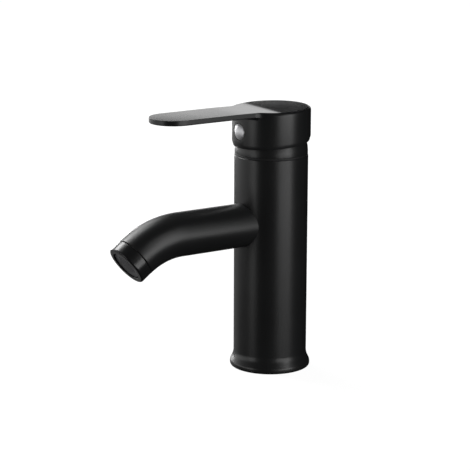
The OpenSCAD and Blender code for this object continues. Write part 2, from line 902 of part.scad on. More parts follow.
module handle() {
    color([0.1, 0.1, 0.11])
        difference() {
            union() {
                handle_shell();
                translate([0, 0, hub_z])
                    cylinder(d = hub_d, h = cap_top_z - hub_z - blade_t);
                facing_front(button_z)
                    cylinder(d = screw_boss_d, h = button_floor);
            }
            translate([-socket, -socket, pivot_z])
                cube([2 * socket, 2 * socket, spindle_up + sweep_gap]);
            facing_front(button_z) {
                cylinder(r = screw_r, h = button_floor + cut);
                translate([0, 0, button_floor])
                    cylinder(d = button_hole_d, h = cap_r);
            }
        }
}

module handle_set_screw() {
    color([0.6, 0.6, 0.62])
        facing_front(button_z)
            translate([0, 0, socket])
                difference() {
                    cylinder(r = screw_r - run_gap, h = screw_l);
                    translate([0, 0, screw_l - screw_key_l])
                        cylinder(d = screw_key / cos(30), h = screw_key_l + cut, $fn = 6);
                }
}

module index_button() {
    button_r = button_hole_d / 2 - 1.5 * fit_gap;
    edge_y = cap_r - button_edge;
    dome_h = cap_r + button_proud - edge_y;
    dome_r = (button_r * button_r + dome_h * dome_h) / (2 * dome_h);
    color([0.8, 0.8, 0.82])
        facing_front(button_z)
            intersection() {
                translate([0, 0, button_floor])
                    cylinder(r = button_r, h = button_hole_l + button_proud);
                translate([0, 0, edge_y + dome_h - dome_r])
                    sphere(r = dome_r);
            }
}

// ---- what is drawn ------------------------------------------------------------------------

body();
base_block();
deck_seal();
hot_pipe();
cold_pipe();
pipe_seals();
valve_block();
spout_adapter();
adapter_seal();
spout();
aerator_housing();
aerator_washer();
aerator_insert();
aerator_screen();
glide_ring();
neck_ring();
retaining_nut();
cartridge_housing();
cartridge_base();
cartridge_seals();
fixed_disc();
moving_disc();
disc_carrier();
spindle_sleeve();
sleeve_seal();
spindle_pin();
spindle();
handle();
handle_set_screw();
index_button();
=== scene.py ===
# %% [markdown]
# # A black basin mixer
# The mixer is a straight column on a flared foot, a bent tube spout with a screw-in aerator, and a
# flat paddle lever. The engineer's model is loaded first, and it never moves: each piece below is
# built around it, in metres, where the engineer's model says the piece is.

# %% Load the engineer's model
import math

import bmesh
import bpy
from mathutils import Matrix, Vector


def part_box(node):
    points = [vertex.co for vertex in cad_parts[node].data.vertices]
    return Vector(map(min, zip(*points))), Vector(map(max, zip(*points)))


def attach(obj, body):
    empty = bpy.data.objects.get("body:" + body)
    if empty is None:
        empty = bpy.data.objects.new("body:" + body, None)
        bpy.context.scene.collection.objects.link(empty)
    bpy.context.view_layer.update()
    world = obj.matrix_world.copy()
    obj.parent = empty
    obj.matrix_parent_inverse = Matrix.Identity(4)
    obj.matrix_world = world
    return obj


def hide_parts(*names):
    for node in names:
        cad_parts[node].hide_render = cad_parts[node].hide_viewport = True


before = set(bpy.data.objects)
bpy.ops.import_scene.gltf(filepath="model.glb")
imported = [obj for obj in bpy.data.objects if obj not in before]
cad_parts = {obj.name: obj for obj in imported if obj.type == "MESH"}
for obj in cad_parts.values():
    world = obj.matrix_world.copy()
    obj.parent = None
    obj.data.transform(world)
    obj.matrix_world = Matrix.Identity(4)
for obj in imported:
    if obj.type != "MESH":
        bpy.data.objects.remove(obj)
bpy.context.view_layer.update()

MM = 0.001
print("pieces in the engineer's model:", len(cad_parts))

# %% [markdown]
# ## Sizes
# The sizes that other pieces depend on are read from the boxes of the engineer's pieces, so that
# the pieces below meet that model exactly. A box doesn't tell how thick a wall is, how far the
# spout bends or where the lever tips, so those sizes are typed in.

# %% Read the sizes
FOOT_FLARE, COLUMN_WALL, PIVOT_BELOW_NECK = 2.2 * MM, 2 * MM, 8.5 * MM
SPOUT_BEND = math.radians(36)
foot_r, column_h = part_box("body")[1].x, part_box("body")[1].z
column_r = foot_r - FOOT_FLARE
bore_r = column_r - COLUMN_WALL
neck_r, neck_top_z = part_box("neck_ring")[1].x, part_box("neck_ring")[1].z
neck_base_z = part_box("glide_ring")[1].z
pivot_z = neck_top_z - PIVOT_BELOW_NECK
cap_r, cap_top_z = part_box("handle")[1].y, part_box("handle")[1].z
lever_tip_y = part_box("handle")[0].y
spout_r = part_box("spout")[1].x
spout_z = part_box("spout")[1].z - spout_r
print(f"column {2000 * column_r:.1f} mm wide, {1000 * column_h:.1f} mm high")
print(f"lever reaches {-1000 * lever_tip_y:.1f} mm, top at {1000 * cap_top_z:.1f} mm")

# %% [markdown]
# ## The camera
# A catalogue picture of a tap is taken from far off with a long lens. A near camera with a wide
# lens would frame the tap as well, but the column's sides would lean. The camera stands to the
# right of the spout and a little above the lever.

# %% Set up the camera
CAMERA_PLACE = (0.9527, -0.6694, 0.3561)
CAMERA_ANGLES = (76.75, -0.21, 56.03)
LENS, SENSOR_WIDTH = 149.35, 36
camera = bpy.data.objects.new("camera", bpy.data.cameras.new("camera"))
bpy.context.scene.collection.objects.link(camera)
camera.location = CAMERA_PLACE
camera.rotation_euler = [math.radians(angle) for angle in CAMERA_ANGLES]
camera.data.lens, camera.data.sensor_width = LENS, SENSOR_WIDTH
bpy.context.scene.camera = camera
print("camera distance:", round(camera.location.length, 3), "m")

# %% [markdown]
# ## The studio
# Gloss on a black object is nothing but a picture of the lamps. So each lamp is a large soft
# panel, where a spot lamp would draw a hard dot, and its place is chosen by what it draws: a band
# down the column, a white edge on the spout's end, the bright sheet on the lever's flat top. That
# top mirrors any panel that hangs across from the eye and as high, so the panels are kept low,
# narrow or well above the eye, or the lever would turn white when the tap is seen from its sides.

# %% Hang the soft panels
CAMERA_TURN = -34
TAP_MIDDLE = Vector((0, -0.02, 0.08))


def direction(turn, rise):
    """The unit vector towards a place that many degrees right of the camera and above level."""
    a, b = math.radians(CAMERA_TURN + turn), math.radians(rise)
    return Vector((math.cos(a) * math.cos(b), math.sin(a) * math.cos(b), math.sin(b)))


def panel(name, turn, rise, distance, width, height, glow):
    """A rectangular lamp that faces the tap. glow is its brightness as seen in a mirror."""
    lamp = bpy.data.lights.new(name, "AREA")
    lamp.shape = "RECTANGLE"
    lamp.size, lamp.size_y = width, height
    lamp.energy = glow * math.pi * width * height
    obj = bpy.data.objects.new(name, lamp)
    bpy.context.scene.collection.objects.link(obj)
    way = direction(turn, rise)
    obj.location = TAP_MIDDLE + way * distance
    obj.rotation_euler = way.to_track_quat("Z", "Y").to_euler()
    obj.visible_camera = False


# Name, turn, rise, distance, width, height and glow.
panel("right_softbox", 42, -2, 1.6, 1.16, 0.56, 2.6)
panel("right_strip", 61, -1, 1.6, 0.34, 0.62, 1.6)
panel("right_upper", 53, 17, 1.6, 0.48, 0.51, 3)
panel("right_high", 50, 35, 1.6, 0.75, 0.51, 1.2)
panel("left_softbox", -57, -3, 1.6, 0.56, 0.62, 2)
panel("left_wall", -105, -0.5, 1.6, 2.32, 0.54, 1.2)
panel("rear_left_low", -154, 2, 1.8, 0.76, 0.44, 10)
panel("rear_left_upper", -154, 37, 1.8, 0.61, 0.83, 2.9)
panel("left_upper", -127, 37, 1.8, 0.66, 0.83, 10.5)
panel("left_high", -130, 60, 1.8, 0.8, 0.63, 3.4)
panel("low_fill", -150, -27, 1.4, 1.75, 0.65, 0.2)
panel("rear_strip", 177, 8.03, 2.4, 1.3, 0.346, 1.07)
print("soft panels:", len(bpy.data.lights))

# %% [markdown]
# ## The floor
# The tap stands on a plain pale sheet. The sheet is so much brighter than the tap that its picture
# in the gloss would wash the black out. A photographer would hang black cards against that. Here
# the rays that leave the tap simply pass the floor by. It casts no shadow either, so the panels
# that reach below it still light the tap.

# %% Lay the floor
FLOOR_SIZE = 12
PAPER_GREY, PAPER_GLOW = 0.15, 0.97
WHITE = (1, 1, 1, 1)


def dial(node, settings):
    """Sets a node's inputs by their names."""
    for name, value in settings.items():
        node.inputs[name].default_value = value


floor_mesh = bpy.data.meshes.new("floor")
floor_bm = bmesh.new()
bmesh.ops.create_grid(floor_bm, x_segments=1, y_segments=1, size=FLOOR_SIZE / 2)
floor_bm.to_mesh(floor_mesh)
floor_bm.free()
floor = bpy.data.objects.new("floor", floor_mesh)
bpy.context.scene.collection.objects.link(floor)
floor.visible_glossy = False
floor.visible_diffuse = False
floor.visible_shadow = False
paper = bpy.data.materials.new("pale_paper")
paper.use_nodes = True
dial(paper.node_tree.nodes["Principled BSDF"], {
    "Base Color": (PAPER_GREY, PAPER_GREY, PAPER_GREY, 1),
    "Roughness": 0.9,
    "Specular IOR Level": 0.1,
    "Emission Color": WHITE,
    "Emission Strength": PAPER_GLOW,
})
floor_mesh.materials.append(paper)
print("floor", FLOOR_SIZE, "m wide")

# %% [markdown]
# ## The backdrop
# Behind the floor everything is white. A curved sheet of paper could stand there, but the world's
# own colour does the same with nothing to build. It too is hidden from the rays that leave the
# tap, so only the soft panels light it.

# %% Hang the backdrop
backdrop = bpy.data.worlds.new("backdrop")
backdrop.use_nodes = True
dial(backdrop.node_tree.nodes["Background"], {"Color": WHITE})
backdrop.cycles_visibility.glossy = False
backdrop.cycles_visibility.diffuse = False
bpy.context.scene.world = backdrop
bpy.context.scene.view_settings.view_transform = "Standard"
print("world:", bpy.context.scene.world.name)

# %% [markdown]
# ## A finish from nodes
# Every finish here is one shader whose colour, roughness and surface are stirred a little by
# noise in the object's own space, so that nothing is perfectly even. A painted picture could do
# the same, but it would have to be wrapped round each piece and would show a seam. The noise can
# be stretched by a mapping: long along a drawn tube, or squeezed into rings round a turned collar.

# %% Write the finish maker
CLOUDS_A_METRE = 40
FINE_DETAIL, CLOUD_DETAIL = 3, 4
STIR_LOW, STIR_HIGH = 0.6, 1.4


def finish(name, light, dark, rough, grain, depth, metallic=0.0, stretch=(1, 1, 1),
           turn=(0, 0, 0), ior=1.5):
    """A material. light and dark are the ends of its colour, rough the range of its roughness,
    grain the size of its finest marks and depth how deep they go, both in metres. stretch and
    turn lay the marks in one direction."""
    material = bpy.data.materials.new(name)
    material.use_nodes = True
    nodes, link = material.node_tree.nodes, material.node_tree.links.new
    shader = nodes["Principled BSDF"]
    dial(shader, {"Metallic": metallic, "IOR": ior})

    place = nodes.new("ShaderNodeTexCoord")
    mapping = nodes.new("ShaderNodeMapping")
    dial(mapping, {"Rotation": turn, "Scale": stretch})
    link(place.outputs["Object"], mapping.inputs["Vector"])
    fine = nodes.new("ShaderNodeTexNoise")
    dial(fine, {"Scale": 1 / grain, "Detail": FINE_DETAIL})
    link(mapping.outputs["Vector"], fine.inputs["Vector"])
    cloud = nodes.new("ShaderNodeTexNoise")
    dial(cloud, {"Scale": CLOUDS_A_METRE, "Detail": CLOUD_DETAIL})
    link(place.outputs["Object"], cloud.inputs["Vector"])

    colour = nodes.new("ShaderNodeMix")
    colour.data_type = "RGBA"
    dial(colour, {"A": (*dark, 1), "B": (*light, 1)})
    link(cloud.outputs["Fac"], colour.inputs["Factor"])
    link(colour.outputs["Result"], shader.inputs["Base Color"])

    stir = nodes.new("ShaderNodeMath")
    stir.operation = "ADD"
    link(fine.outputs["Fac"], stir.inputs[0])
    link(cloud.outputs["Fac"], stir.inputs[1])
    gloss = nodes.new("ShaderNodeMapRange")
    dial(gloss, {"From Min": STIR_LOW, "From Max": STIR_HIGH,
                 "To Min": rough[0], "To Max": rough[1]})
    link(stir.outputs["Value"], gloss.inputs["Value"])
    link(gloss.outputs["Result"], shader.inputs["Roughness"])

    bump = nodes.new("ShaderNodeBump")
    dial(bump, {"Strength": 1, "Distance": depth})
    link(fine.outputs["Fac"], bump.inputs["Height"])
    link(bump.outputs["Normal"], shader.inputs["Normal"])
    return material


print("clouds in a finish:", 1000 / CLOUDS_A_METRE, "mm wide")

# %% [markdown]
# ## The finishes
# The coating is a baked black lacquer: nearly black, satin, with a very fine orange peel. The
# lever's top is buffed smoother than the castings, because fingers and the eye meet it first. The
# collar round the outlet is turned, and its fine rings show through the coat. All three are the
# same lacquer with another gloss and grain, so that they still look like one tap.

# %% Mix the finishes
DARK, LIGHT = (0.018, 0.0185, 0.019), (0.022, 0.0225, 0.023)
UPRIGHT_TO_COLLAR = -math.radians(90) - SPOUT_BEND
lacquer = finish("satin_black_lacquer", LIGHT, DARK, (0.3, 0.36), 0.5 * MM, 0.0006 * MM)
buffed_lacquer = finish("buffed_black_lacquer", LIGHT, DARK, (0.05, 0.075),
                        0.6 * MM, 0.0004 * MM)
collar_lacquer = finish("turned_black_lacquer", LIGHT, DARK, (0.18, 0.26),
                        0.4 * MM, 0.002 * MM, stretch=(0.02, 0.02, 1),
                        turn=(UPRIGHT_TO_COLLAR, 0, 0))
finishes = {
    "black_paint": lacquer,
    "black_plastic": finish("matt_black_plastic", (0.02, 0.02, 0.021), (0.014, 0.014, 0.015),
                            (0.45, 0.6), 0.3 * MM, 0.003 * MM),
    "grey_plastic": finish("grey_acetal", (0.36, 0.36, 0.37), (0.28, 0.28, 0.29),
                           (0.4, 0.55), 0.3 * MM, 0.003 * MM),
    "white_plastic": finish("white_acetal", (0.8, 0.8, 0.77), (0.72, 0.72, 0.69),
                            (0.35, 0.5), 0.4 * MM, 0.003 * MM),
    "carrier_plastic": finish("glass_filled_nylon", (0.58, 0.58, 0.55), (0.48, 0.48, 0.45),
                              (0.4, 0.6), 0.25 * MM, 0.006 * MM),
    "ceramic": finish("lapped_alumina", (0.92, 0.92, 0.89), (0.86, 0.86, 0.83),
                      (0.08, 0.16), 0.2 * MM, 0.0005 * MM, ior=1.76),
    "brass": finish("machined_brass", (0.76, 0.58, 0.3), (0.66, 0.47, 0.21),
                    (0.2, 0.38), 0.35 * MM, 0.004 * MM, metallic=1.0, stretch=(0.1, 0.1, 1)),
    "copper": finish("drawn_copper", (0.78, 0.46, 0.3), (0.62, 0.33, 0.2),
                     (0.2, 0.35), 0.3 * MM, 0.003 * MM, metallic=1.0, stretch=(1, 1, 0.05)),
    "steel": finish("machined_steel", (0.66, 0.66, 0.67), (0.54, 0.54, 0.55),
                    (0.22, 0.36), 0.3 * MM, 0.003 * MM, metallic=1.0),
    "rubber": finish("black_rubber", (0.03, 0.03, 0.03), (0.016, 0.016, 0.016),
                     (0.6, 0.8), 0.2 * MM, 0.006 * MM),
    "chrome": finish("satin_chrome", (0.86, 0.86, 0.88), (0.78, 0.78, 0.8),
                     (0.44, 0.54), 0.4 * MM, 0.0008 * MM, metallic=1.0),
}
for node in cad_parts.values():
    for slot in node.material_slots:
        slot.material = finishes[slot.material.name.split(".")[0]]
print("finishes:", ", ".join(sorted(m.name for m in finishes.values())))

# %% [markdown]
# ## Helpers for turned pieces
# Most of the tap came off a lathe. A ready cylinder would need a cut for every step of such a
# piece. Instead half of its section is drawn with a few vertices and spun round the upright axis,
# and its sharp rings are rounded with a bevel, as a file breaks an edge.

# %% Write the lathe
TURN_STEPS, BEVEL_STEPS = 128, 6
RING_REACH, MERGE = 0.02 * MM, 0.001 * MM


def ring_edges(bm, radius, height):
    """The edges of the ring with that radius and height."""
    def on_ring(v):
        return (abs(math.hypot(v.co.x, v.co.y) - radius) < RING_REACH
                and abs(v.co.z - height) < RING_REACH)
    return [e for e in bm.edges if on_ring(e.verts[0]) and on_ring(e.verts[1])]


def turned(outline, rounds=(), steps=TURN_STEPS):
    """A closed section of (radius, height) points, spun full circle. rounds lists the rings to
    be rounded, each as (radius, height, size of the rounding)."""
    bm = bmesh.new()
    verts = [bm.verts.new((r, 0, z)) for r, z in outline]
    for a, b in zip(verts, verts[1:] + verts[:1]):
        if a.co.x > 0 or b.co.x > 0:
            bm.edges.new((a, b))
    bmesh.ops.spin(bm, geom=bm.verts[:] + bm.edges[:], cent=(0, 0, 0), axis=(0, 0, 1),
                   dvec=(0, 0, 0), angle=2 * math.pi, steps=steps, use_merge=True)
    bmesh.ops.remove_doubles(bm, verts=bm.verts[:], dist=MERGE)
    for radius, height, size in rounds:
        bmesh.ops.bevel(bm, geom=ring_edges(bm, radius, height), affect="EDGES", offset=size,
                        offset_type="OFFSET", segments=BEVEL_STEPS, profile=0.5, material=-1)
    bmesh.ops.recalc_face_normals(bm, faces=bm.faces[:])
    return bm


print("sides of a turned piece:", TURN_STEPS)

# %% [markdown]
# ## Handing a piece over
# A finished shape becomes an object that moves with one body of the tap, and the engineer's piece
# that it stands for steps aside. Edges sharper than a rounding's own facets stay crisp, and
# weighted normals keep the big faces flat beside their roundings. More facets would do that too,
# at many times the weight.

# %% Write how a piece is handed over
SHARP_ANGLE, EVEN_WEIGHT = math.radians(32), 80


def piece(name, bm, material, body, slot, *replaced, place=None):
    """Turns a finished bmesh into a piece of the tap that rides on a body."""
    if place is not None:
        bmesh.ops.transform(bm, matrix=place, verts=bm.verts[:])
    mesh = bpy.data.meshes.new(name)
    bm.to_mesh(mesh)
    bm.free()
    mesh.shade_smooth()
    mesh.set_sharp_from_angle(angle=SHARP_ANGLE)
    mesh.materials.append(material)
    obj = bpy.data.objects.new(name, mesh)
    bpy.context.scene.collection.objects.link(obj)
    even = obj.modifiers.new("even_normals", "WEIGHTED_NORMAL")
    even.keep_sharp = True
    even.weight = EVEN_WEIGHT
    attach(obj, body)
    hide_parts(*replaced)
    print(f"{name}: {len(mesh.polygons)} faces")
    return obj


print(f"edges stay crisp from {math.degrees(SHARP_ANGLE):.0f} degrees")

# %% [markdown]
# ## The column and its foot
# Column and foot are one brass tube, spun out at the bottom. The foot's flare is a straight cone
# that meets its widest ring in a generous rounding, and melts into the column above. A curve could
# be traced for that, but straight lines with rounded corners are what the forming tool makes.

# %% Turn the column
FOOT_RIM_Z, FOOT_TOP_Z = 2.5 * MM, 8 * MM
FOOT_ROUND, SHOULDER, FLARE_BLEND = 1.5 * MM, 3 * MM, 2 * MM
TOP_ROUND, BORE_TOP_ROUND, BORE_FOOT_ROUND = 0.4 * MM, 0.2 * MM, 0.3 * MM


def flare_corner():
    """The height at which the flare's cone would meet the foot's widest ring."""
    centre = Vector((foot_r - SHOULDER, FOOT_RIM_Z))
    end = Vector((column_r, FOOT_TOP_Z))
    away = end - centre
    turn = math.atan2(away.y, away.x) - math.acos(SHOULDER / away.length)
    touch = centre + SHOULDER * Vector((math.cos(turn), math.sin(turn)))
    slope = (touch.y - end.y) / (touch.x - end.x)
    return end.y + slope * (foot_r - end.x)


corner_z = flare_corner()
column = turned(
    [(bore_r, 0), (foot_r, 0), (foot_r, corner_z), (column_r, FOOT_TOP_Z),
     (column_r, column_h), (bore_r, column_h)],
    rounds=[(foot_r, 0, FOOT_ROUND), (foot_r, corner_z, corner_z - FOOT_RIM_Z),
            (column_r, FOOT_TOP_Z, FLARE_BLEND), (column_r, column_h, TOP_ROUND),
            (bore_r, column_h, BORE_TOP_ROUND), (bore_r, 0, BORE_FOOT_ROUND)])
piece("column", column, lacquer, "mixer", "black_paint", "body")
print(f"flare meets the widest ring at {1000 * corner_z:.2f} mm")

# %% [markdown]
# ## The slip ring
# A thin plastic ring lies on the column's top, under the neck. All that shows is its edge, between
# two fine lines. A groove cut in the column could draw those lines, but the ring is a piece of
# its own and wears, so it is turned by itself, and its rounded edges make them.

# %% Turn the slip ring
RING_FIT, RING_ROUND = 0.05 * MM, 0.15 * MM
ring_r, ring_bore_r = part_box("glide_ring")[1].x, bore_r - RING_FIT
slip = turned(
    [(ring_bore_r, column_h), (ring_r, column_h), (ring_r, neck_base_z),
     (ring_bore_r, neck_base_z)],
    rounds=[(ring_r, column_h, RING_ROUND), (ring_r, neck_base_z, RING_ROUND)])
piece("slip_ring", slip, finishes["black_plastic"], "mixer", "black_plastic", "glide_ring")

# %% [markdown]
# ## The neck
# The neck fills the gap between the column and the lever's cap and touches only the column. It is
# part of a ball round the lever's pivot. A plain cylinder would look much the same, but then the
# cap would have to stand well off it to tip, and over a ball the gap stays even. The ball is a row
# of points in the turned section.

# %% Turn the neck
BALL_STEPS = 12
NECK_HOLE_R, PLATE_T = 15.2 * MM, 2.2 * MM
SPIGOT_FIT, SPIGOT_BORE_IN = 0.15 * MM, 1.3 * MM
NECK_BASE_ROUND, NECK_TOP_ROUND, NECK_HOLE_ROUND = 0.2 * MM, 0.3 * MM, 0.4 * MM
spigot_r, spigot_bore_r = bore_r - SPIGOT_FIT, bore_r - SPIGOT_BORE_IN
spigot_z, plate_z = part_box("neck_ring")[0].z, neck_top_z - PLATE_T
neck_h = neck_top_z - neck_base_z
ball_heights = [neck_base_z + neck_h * i / BALL_STEPS for i in range(BALL_STEPS + 1)]


def ball_r(height, radius):
    """The radius at that height of a ball round the pivot."""
    return math.sqrt(radius ** 2 - (height - pivot_z) ** 2)


neck = turned(
    [(spigot_bore_r, spigot_z), (spigot_r, spigot_z), (spigot_r, neck_base_z)]
    + [(ball_r(z, neck_r), z) for z in ball_heights]
    + [(NECK_HOLE_R, neck_top_z), (NECK_HOLE_R, plate_z), (spigot_bore_r, plate_z)],
    rounds=[(ball_r(neck_base_z, neck_r), neck_base_z, NECK_BASE_ROUND),
            (ball_r(neck_top_z, neck_r), neck_top_z, NECK_TOP_ROUND),
            (NECK_HOLE_R, neck_top_z, NECK_HOLE_ROUND)])
piece("neck", neck, lacquer, "mixer", "black_paint", "neck_ring")

# %% [markdown]
# ## Growing a shape ring by ring
# The spout and the lever aren't turned. A curve with a round section would make a tube, but not
# one that is coped and bored, so both are grown: a ring of vertices is extruded, the new ring is
# moved to where the surface goes next, and so on. Each extrusion keeps the vertices in order, so
# the n-th vertex of one ring always faces the n-th of the next.

# %% Write the ring helpers


def edge_between(a, b):
    """The edge that joins two vertices."""
    return next(e for e in a.link_edges if e.other_vert(a) == b)


def ring_of_edges(ring):
    """The edges of a closed ring of vertices."""
    return [edge_between(a, b) for a, b in zip(ring, ring[1:] + ring[:1])]


def grow(bm, ring, positions):
    """Extrudes a closed ring of vertices and puts the new ring at the positions."""
    made = bmesh.ops.extrude_edge_only(bm, edges=ring_of_edges(ring))["geom"]
    new = {v for v in made if isinstance(v, bmesh.types.BMVert)}
    after = [next(e.other_vert(v) for e in v.link_edges if e.other_vert(v) in new) for v in ring]
    for vert, position in zip(after, positions):
        vert.co = position
    return after


def quarter(step, steps):
    """The sine and cosine of one step of a quarter turn, for a rounding."""
    a = math.radians(90) * step / steps
    return math.sin(a), math.cos(a)


print("half-way round a rounding:", [round(share, 3) for share in quarter(1, 2)])

# %% [markdown]
# ## The spout's line
# A spout like this is a tube that is filled with sand and bent round a former. Its middle line
# runs level, then down an arc. A curve object could follow that line, but its rings couldn't be
# fitted to the column. So one rule gives any point of the tube from how far along the line it is.

# %% Follow the spout's line
STRAIGHT, BEND_R, COPE_GAP = 66.5 * MM, 52 * MM, 0.02 * MM
TUBE_SIDES, BEND_STEPS = 96, 26
bend_l = BEND_R * SPOUT_BEND
spout_end = STRAIGHT + bend_l


def along_spout(length, radius, side):
    """A point of a tube round the spout's line, that far along it, on that side of 0 to 1."""
    a = 2 * math.pi * side
    x, up = radius * math.sin(a), radius * math.cos(a)
    if length <= STRAIGHT:
        return Vector((x, -length, spout_z + up))
    turn = min((length - STRAIGHT) / BEND_R, SPOUT_BEND)
    past = length - STRAIGHT - turn * BEND_R
    out = BEND_R + up
    return Vector((x, -STRAIGHT - out * math.sin(turn) - past * math.cos(turn),
                   spout_z - BEND_R + out * math.cos(turn) - past * math.sin(turn)))


def spout_ring(length, radius):
    """A ring of the tube, that far along the spout's line."""
    return [along_spout(length, radius, i / TUBE_SIDES) for i in range(TUBE_SIDES)]


def bend_ring(step, radius, short=0):
    """The ring at one step of the bend, or a little short of it."""
    return spout_ring(STRAIGHT + bend_l * step / BEND_STEPS - short, radius)


def coped_ring(radius):
    """The ring where the tube meets the column."""
    cope_r = column_r + COPE_GAP
    points = spout_ring(0, radius)
    return [Vector((p.x, -math.sqrt(cope_r ** 2 - p.x ** 2), p.z)) for p in points]


print(f"spout {1000 * spout_end:.1f} mm long along its line")

# %% [markdown]
# ## The spout
# The bent tube is coped to the column and brazed on. The cope could be cut with a boolean, but the
# cut would leave slivers that catch the light. So the first ring lies on the column, and the tube
# is grown from there: straight out, round the bend, over the lip, into the aerator's socket and
# back through its bore.

# %% Grow the spout
TUBE_BORE_R, SOCKET_R, SOCKET_L, LIP = 11.2 * MM, 12.1 * MM, 7.6 * MM, 0.45 * MM
STRAIGHT_STEPS, LIP_STEPS = 6, 4
socket_steps = math.ceil(SOCKET_L / (bend_l / BEND_STEPS))
tube = bmesh.new()
bmesh.ops.create_circle(tube, segments=TUBE_SIDES, radius=spout_r)
tube.verts.ensure_lookup_table()
ring = tube.verts[:]
for vert, point in zip(ring, coped_ring(spout_r)):
    vert.co = point
start = ring
for i in range(1, STRAIGHT_STEPS + 1):
    length = column_r + (STRAIGHT - column_r) * i / STRAIGHT_STEPS
    ring = grow(tube, ring, spout_ring(length, spout_r))
for i in range(1, BEND_STEPS):
    ring = grow(tube, ring, bend_ring(i, spout_r))
ring = grow(tube, ring, bend_ring(BEND_STEPS, spout_r, short=LIP))
for i in range(1, LIP_STEPS + 1):
    s, c = quarter(i, LIP_STEPS)
    ring = grow(tube, ring, spout_ring(spout_end - LIP * (1 - s), spout_r - LIP * (1 - c)))
ring = grow(tube, ring, spout_ring(spout_end, SOCKET_R))
ring = grow(tube, ring, spout_ring(spout_end - SOCKET_L, SOCKET_R))
ring = grow(tube, ring, spout_ring(spout_end - SOCKET_L, TUBE_BORE_R))
for i in range(BEND_STEPS - socket_steps, -1, -1):
    ring = grow(tube, ring, bend_ring(i, TUBE_BORE_R))
ring = grow(tube, ring, coped_ring(TUBE_BORE_R))
bmesh.ops.bridge_loops(tube, edges=ring_of_edges(ring) + ring_of_edges(start))
bmesh.ops.recalc_face_normals(tube, faces=tube.faces[:])
piece("spout_tube", tube, lacquer, "mixer", "black_paint", "spout")

# %% [markdown]
# ## The aerator
# The aerator's housing is a turned collar that screws into the spout's end. Its lip holds a
# plastic insert with a fine screen, which mixes air into the water. The collar is turned upright
# like the other lathe work and then put in its place, because a slanted section can't be read.

# %% Turn the aerator's housing
COLLAR_R, COLLAR_L, THREAD_R, THREAD_L = 13.2 * MM, 7.8 * MM, 12 * MM, 6 * MM
INSERT_BORE_R, MOUTH_R, INSERT_LIP = 10.5 * MM, 9.6 * MM, 1.5 * MM
COLLAR_SEAM_ROUND, COLLAR_END_ROUND = 0.7 * MM, 1.1 * MM
MOUTH_ROUND, THREAD_ROUND = 0.6 * MM, 0.3 * MM
insert_z = COLLAR_L - INSERT_LIP
at_mouth = (Matrix.Translation(along_spout(spout_end, 0, 0))
            @ Matrix.Rotation(math.radians(90) + SPOUT_BEND, 4, "X"))
collar = turned(
    [(INSERT_BORE_R, -THREAD_L), (THREAD_R, -THREAD_L), (THREAD_R, 0), (COLLAR_R, 0),
     (COLLAR_R, COLLAR_L), (MOUTH_R, COLLAR_L), (MOUTH_R, insert_z), (INSERT_BORE_R, insert_z)],
    rounds=[(COLLAR_R, 0, COLLAR_SEAM_ROUND), (COLLAR_R, COLLAR_L, COLLAR_END_ROUND),
            (MOUTH_R, COLLAR_L, MOUTH_ROUND), (THREAD_R, -THREAD_L, THREAD_ROUND)])
piece("aerator_collar", collar, collar_lacquer, "mixer", "black_paint", "aerator_housing",
      place=at_mouth)

# %% [markdown]
# ## The lever's outline
# Lever and cap are one casting. Seen from above its outline is a round cap, a fillet on each
# side, straight sides, and a half-round tip. A disc and a bar could be joined instead, but then
# the edge would have no even run of vertices to round. So the outline is made by spinning a single
# vertex round one centre after another, and it is mirrored.

# %% Draw the lever's outline
BLADE_R, FILLET = 14.8 * MM, 8 * MM
BACK_STEPS, FILLET_STEPS, SIDE_STEPS, TIP_STEPS = 54, 10, 12, 26
fillet_x = BLADE_R + FILLET
fillet_y = -math.sqrt((cap_r + FILLET) ** 2 - fillet_x ** 2)
touch_angle = math.atan2(fillet_x, -fillet_y)
tip_centre_y = lever_tip_y + BLADE_R
plan = bmesh.new()


def sweep(vert, centre, angle, steps):
    """Spins one vertex round an upright axis, and gives the vertex at the end of the arc."""
    last = bmesh.ops.spin(plan, geom=[vert], cent=(*centre, 0), axis=(0, 0, 1), dvec=(0, 0, 0),
                          angle=angle, steps=steps, use_duplicate=False)["geom_last"]
    return next(v for v in last if isinstance(v, bmesh.types.BMVert))


vert = plan.verts.new((0, cap_r, 0))
vert = sweep(vert, (0, 0), touch_angle - math.pi, BACK_STEPS)
vert = sweep(vert, (fillet_x, fillet_y), math.pi / 2 - touch_angle, FILLET_STEPS)
side_step = (tip_centre_y - fillet_y) / SIDE_STEPS
for i in range(1, SIDE_STEPS + 1):
    vert = bmesh.ops.extrude_vert_indiv(plan, verts=[vert])["verts"][0]
    vert.co = (BLADE_R, fillet_y + side_step * i, 0)
sweep(vert, (0, tip_centre_y), -math.pi / 2, TIP_STEPS)


def both_sides(points):
    """The right half of a ring, from back to front, and its mirror image from front to back."""
    return points + [Vector((-p.x, p.y, p.z)) for p in reversed(points[1:-1])]


outline = both_sides([v.co.copy() for v in plan.verts])
plan.free()
outline_count = len(outline)
print("vertices round the lever:", outline_count)

# %% [markdown]
# ## Partners on the cap's wall
# Under the blade the lever goes on as the cap's round wall, and each vertex of the outline needs a
# partner there. Partners straight below wouldn't do, since the blade reaches far past the wall. So
# behind the fillets the partners follow the cap, and those of the blade are shared out evenly over
# the wall's front.

# %% Share out the cap's wall
front_steps = FILLET_STEPS + SIDE_STEPS + TIP_STEPS


def wall_angle(i):
    """The angle from the front at which the i-th vertex goes down the cap's wall."""
    if i <= BACK_STEPS:
        return math.pi + (touch_angle - math.pi) * i / BACK_STEPS
    return touch_angle * (1 - (i - BACK_STEPS) / front_steps)


wall = both_sides([Vector((math.sin(wall_angle(i)), -math.cos(wall_angle(i)), 0))
                   for i in range(BACK_STEPS + front_steps + 1)])
print("partners on the cap's wall:", len(wall))

